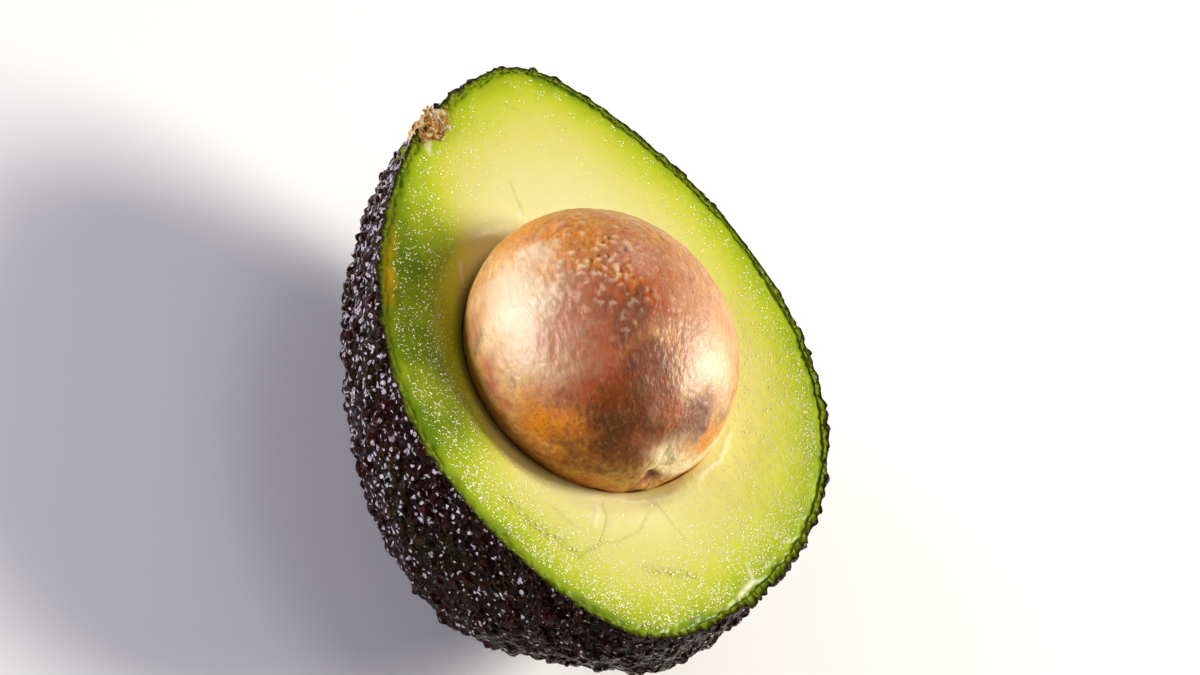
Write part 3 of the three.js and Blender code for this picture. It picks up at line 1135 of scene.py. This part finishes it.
@dataclass
class Seed:
    """Whole seed with its papery coat."""

    form: SeedForm = field(default_factory=SeedForm)
    detail: int = 7
    pleats: int = 9
    pleat_depth: float = 0.35
    dent: float = 5.0
    dent_height: float = 0.12
    grain: float = 1.1
    grain_height: float = 0.05
    tip_at: Triple = (0.95, 0.25, 0.08)
    tip_span: float = 0.24  # spans are shares of the seed's radius
    tip_fold: float = 2.2
    tip_height: float = 0.5
    crinkle: float = 0.8
    crinkle_height: float = 0.26
    crinkled_at: Triple = (-0.12, -0.40, 0.91)
    crinkled_span: float = 0.42
    pit_at: Triple = (0.98, 0.20, -0.02)
    pit_span: float = 0.09
    pit_depth: float = 0.9
    seam_at: float = 0.06
    seam_span: float = 0.07
    # Colour, direction from the centre, span and strength of each stain
    stains: tuple[tuple[str, Triple, float, float], ...] = (
        ("gold", (-0.54, -0.76, 0.36), 0.24, 1.0),
        ("gold", (-0.34, -0.60, 0.72), 0.36, 0.75),
        ("gold", (-0.07, -0.51, 0.86), 0.36, 0.9),
        ("gold", (0.15, -0.40, 0.90), 0.24, 0.9),
        ("gold", (0.79, -0.61, 0.04), 0.30, 0.8),
        ("gold", (0.83, 0.51, 0.23), 0.24, 0.8),
        ("rust", (0.28, -0.50, 0.80), 0.40, 0.95),
        ("rust", (0.62, -0.50, 0.60), 0.42, 0.85),
        ("rust", (0.85, -0.10, 0.52), 0.48, 1.0),
        ("rust", (-0.15, -0.10, 0.98), 0.30, 0.8),
        ("rust", (0.20, 0.00, 0.98), 0.30, 0.75),
        ("rust", (0.38, -0.93, -0.02), 0.12, 0.9),
        ("plum", (0.32, -0.28, 0.90), 0.18, 0.7),
        ("plum", (0.60, -0.16, 0.78), 0.20, 0.7),
        ("plum", (0.76, -0.05, 0.62), 0.22, 0.7),
        ("plum", (0.81, 0.30, 0.50), 0.24, 0.85),
        ("plum", (0.58, 0.66, 0.47), 0.14, 0.55),
        ("plum", (0.09, -0.99, -0.11), 0.10, 0.5),
        ("olive", (0.90, -0.24, 0.38), 0.30, 0.8),
        ("olive", (0.93, -0.36, 0.01), 0.22, 0.6),
        # The mauve patches are partly painted highlight, most of all where the key lamp's highlight falls
        ("mauve", (-0.21, -0.08, 0.97), 0.26, 0.6),
        ("mauve", (0.00, 0.32, 0.95), 0.36, 0.65),
        ("mauve", (0.45, 0.35, 0.82), 0.30, 0.7),
        ("mauve", (0.80, 0.05, 0.60), 0.20, 0.4),
        ("gold", (-0.90, 0.10, 0.40), 0.40, 0.6),
        ("rust", (0.98, 0.20, -0.02), 0.10, 1.0),
        ("plum", (0.98, 0.20, -0.02), 0.07, 0.8),
        ("rust", (-0.60, 0.60, 0.50), 0.40, 0.6),
        ("rust", (0.10, 0.90, 0.40), 0.35, 0.5),
    )
    # Direction, span and strength of each pale patch; the first four are partly film, partly painted
    # highlight
    films_and_highlights: tuple[tuple[Triple, float, float], ...] = (
        ((0.09, -0.90, 0.43), 0.44, 0.85),
        ((-0.10, -0.84, 0.53), 0.26, 0.7),
        ((-0.29, -0.77, 0.58), 0.16, 0.8),
        ((0.46, 0.46, 0.76), 0.30, 0.6),
        ((0.94, 0.27, 0.16), 0.20, 1.0),
        ((0.45, 0.89, 0.10), 0.18, 0.6),
    )

    def build(self, material: Material) -> Piece:
        """Makes the piece.

        Args:
            material: Material of the seed coat.

        Returns:
            The new object.
        """
        bm = bmesh.new()
        names = ("gold", "rust", "plum", "olive", "mauve", "pale_film_and_highlight")
        layers = {name: bm.verts.layers.float.new(name) for name in names}
        bmesh.ops.create_icosphere(bm, subdivisions=self.detail, radius=1.0)
        centre = Vector(self.form.centre)
        stains = [(layers[name], Vector(way).normalized(), *rest) for name, way, *rest in self.stains]
        films_and_highlights = [(Vector(way).normalized(), *rest) for way, *rest in self.films_and_highlights]
        crinkled = Vector(self.crinkled_at).normalized()
        tip = Vector(self.tip_at).normalized()
        pit = Vector(self.pit_at).normalized()
        for vert in bm.verts:
            way = vert.co.normalized()
            point = self.form.surface(way)
            outward = (point - centre).normalized()
            bent = way + 0.16 * noise.noise_vector(way * 4.0) + 0.07 * noise.noise_vector(way * 11.0)
            pleat = math.cos(self.pleats * math.atan2(way.z, way.y)) * max(way.x, 0.0) ** 4
            height = self.pleat_depth * pleat * math.hypot(way.y, way.z)
            height += self.dent_height * noise.noise(point / self.dent)
            height += self.grain_height * noise.noise(Vector((point.x * 0.4, point.y, point.z)) / self.grain)
            folds = noise.noise(Vector((point.x * 0.5, point.y, point.z)) / self.tip_fold)
            height += self.tip_height * falloff((bent - tip).length, self.tip_span) * folds
            zone = falloff((bent - crinkled).length, self.crinkled_span)
            fold = 1.8 * noise.noise(point / self.crinkle + noise.noise_vector(point / 1.1) * 0.5)
            height += self.crinkle_height * (0.15 + zone) * fold
            sunk = falloff((bent - pit).length, self.pit_span)
            height -= self.pit_depth * sunk
            vert.co = point + height * outward
            for layer, spot, span, power in stains:
                vert[layer] = max(vert[layer], power * falloff((bent - spot).length, span))
            # Pale share: film with painted highlight in the patches, film along the seam, film with painted
            # highlight on the crinkles' peaks
            pale_film_and_highlight = max(power * falloff((bent - spot).length, span) for spot, span, power in films_and_highlights)
            seam = falloff(bent.z - self.seam_at, self.seam_span)
            seam *= smooth_step(-0.05, 0.3, way.y) * (way.x > 0)
            pale_film_and_highlight += 0.7 * seam + 0.7 * zone * smooth_step(0.35, 0.85, fold)
            vert[layers["pale_film_and_highlight"]] = min(pale_film_and_highlight, 1.0) * (1 - sunk)
        return finish_piece(bm, "seed_body", material, "seed")


@dataclass
class StemButton:
    """Corky remnant of the stem on the shoulder, cut through with the fruit."""

    form: FruitForm = field(default_factory=FruitForm)
    station: float = -0.7
    sink: float = 0.9
    radii: Triple = (3.8, 1.9, 4.4)
    detail: int = 6
    lump: float = 1.9
    lump_height: float = 0.9
    grit: float = 0.75
    grit_height: float = 0.55
    rise: float = 0.3
    crumbs: int = 70
    crumb_smallest: float = 0.12
    crumb_largest: float = 0.34
    random_seed: int = 5

    def build(self, material: Material) -> Piece:
        """Makes the piece.

        Args:
            material: Material of the cork.

        Returns:
            The new object.
        """
        across = -math.sqrt(1 - self.station**2)
        edge, normal = self.form.surface(Vector((self.station, across, 0)))
        centre = edge - self.sink * normal
        turn = Matrix.Rotation(math.atan2(normal.y, normal.x) + math.pi / 2, 3, "Z")
        bm = bmesh.new()
        bmesh.ops.create_icosphere(bm, subdivisions=self.detail, radius=1.0)
        for vert in bm.verts:
            way = vert.co.normalized()
            body = Vector([w * r for w, r in zip(way, self.radii)])
            rough = self.lump_height * noise.noise(body / self.lump)
            rough += self.grit_height * noise.noise(body / self.grit)
            body += way * rough
            body.z = min(body.z, self.rise * (0.6 + 1.3 * noise.noise(body / 0.8)))
            vert.co = turn @ body + centre
        self.add_crumbs(bm, turn, centre)
        return finish_piece(bm, "stem_cork_lump", material, "stem_button")

    def add_crumbs(self, bm: bmesh.types.BMesh, turn: Matrix, centre: Vector) -> None:
        """Adds loose crumbs of cork on and round the lump.

        Args:
            bm: Mesh of the lump.
            turn: Turn of the lump.
            centre: Centre of the lump.
        """
        draw = random.Random(self.random_seed)
        for _ in range(self.crumbs):
            along, across = draw.gauss(0, 2.1), draw.gauss(-0.3, 0.7)
            spot = turn @ Vector((along, across, draw.uniform(-1.0, 0.5))) + centre
            size = draw.uniform(self.crumb_smallest, self.crumb_largest)
            scale = Matrix.Diagonal((size * draw.uniform(0.6, 1.5), size, size * draw.uniform(0.6, 1.2), 1))
            tumble = Matrix.Rotation(draw.uniform(0, 3.1), 4, (0.4, 0.5, 0.76))
            place = Matrix.Translation(spot) @ tumble @ scale
            made = bmesh.ops.create_icosphere(bm, subdivisions=2, radius=1.0, matrix=place)
            for vert in made["verts"]:
                vert.co += 0.35 * size * noise.noise_vector(vert.co / (0.6 * size))


@dataclass(frozen=True)
class PalePaint:
    """Pale matt paint of the studio floor: it takes the shadow of the fruit and has no glint."""

    tone: str = "#f4f4f4"

    def build(self) -> Material:
        """Makes the material.

        Returns:
            The new material.
        """
        material, _, shader = new_material("pale_paint")
        shader.inputs["Base Color"].default_value = linear(self.tone)
        shader.inputs["Roughness"].default_value = 0.8
        return material


@dataclass(frozen=True)
class Lamp:
    """Soft lamp that faces the fruit. Its place is measured from the fruit, in metres, its power in watts."""

    name: str
    towards: Triple
    size: tuple[float, float]
    power: float
    tint: str

    def build(self, aim: Vector) -> None:
        """Adds the lamp.

        Args:
            aim: Point that it faces.
        """
        data = bpy.data.lights.new(self.name, "AREA")
        data.shape = "RECTANGLE"
        data.size, data.size_y = self.size
        data.energy = self.power
        data.color = linear(self.tint)[:3]
        lamp = bpy.data.objects.new(self.name, data)
        away = Vector(self.towards)
        facing = away.to_track_quat("Z", "Y").to_matrix().to_4x4()
        lamp.matrix_world = Matrix.Translation(aim + away) @ facing
        bpy.context.scene.collection.objects.link(lamp)


@dataclass
class Studio:
    """Plain pale floor, soft lights and the camera at the photograph's view. Lengths here are in metres."""

    aim: Triple = (0.0007, -0.0018, 0.0400)
    distance: float = 0.65
    azimuth_deg: float = 50.38
    elevation_deg: float = 40.63
    roll_deg: float = 39.79
    lens_mm: float = 142.2
    floor_size: float = 3.0
    lamps: tuple[Lamp, ...] = (
        Lamp("key", (0.03, 0.75, 0.47), (0.36, 0.36), 11.8, "#fffaf0"),
        Lamp("left", (-0.11, -0.64, 0.10), (0.46, 0.20), 5.4, "#f3efff"),
        Lamp("top", (0.05, 0.05, 1.0), (0.40, 0.40), 1.2, "#ffffff"),
    )
    sky: str = "#ffffff"
    sky_strength: float = 0.1

    def camera(self) -> None:
        """Places the camera, which is rolled as the photograph is."""
        azimuth, elevation = math.radians(self.azimuth_deg), math.radians(self.elevation_deg)
        back = Vector(
            (
                math.sin(azimuth) * math.cos(elevation),
                -math.cos(azimuth) * math.cos(elevation),
                math.sin(elevation),
            )
        )
        data = bpy.data.cameras.new("camera")
        data.lens = self.lens_mm
        data.clip_start, data.clip_end = 0.01, 20.0
        camera = bpy.data.objects.new("camera", data)
        upright = (-back).to_track_quat("-Z", "Y").to_matrix()
        turned = upright @ Matrix.Rotation(math.radians(self.roll_deg), 3, "Z")
        camera.matrix_world = Matrix.Translation(Vector(self.aim) + back * self.distance) @ turned.to_4x4()
        bpy.context.scene.collection.objects.link(camera)
        bpy.context.scene.camera = camera

    def floor(self) -> None:
        """Makes the floor under the fruit."""
        bm = bmesh.new()
        bmesh.ops.create_grid(bm, x_segments=1, y_segments=1, size=self.floor_size / 2)
        mesh = bpy.data.meshes.new("floor")
        bm.to_mesh(mesh)
        bm.free()
        mesh.materials.append(PalePaint().build())
        floor = bpy.data.objects.new("floor", mesh)
        bpy.context.scene.collection.objects.link(floor)

    def build(self) -> None:
        """Sets up the whole studio."""
        self.camera()
        self.floor()
        for lamp in self.lamps:
            lamp.build(Vector(self.aim))
        world = bpy.data.worlds.new("studio")
        bpy.context.scene.world = world
        world.use_nodes = True
        background = world.node_tree.nodes["Background"]
        background.inputs["Color"].default_value = linear(self.sky)
        background.inputs["Strength"].default_value = self.sky_strength
        bpy.context.scene.view_settings.view_transform = "Standard"


def main() -> None:
    """Builds the studio and the pieces of the fruit."""
    logging.basicConfig(level=logging.INFO)
    noise.seed_set(NOISE_SEED)
    Studio().build()
    Skin().build(RipeRind().build())
    Flesh().build(FreshPulp().build())
    JuiceBeads().build(JuiceBead().build())
    Seed().build(SeedCoat().build())
    StemButton().build(StemCork().build())


if __name__ == "__main__":
    main()
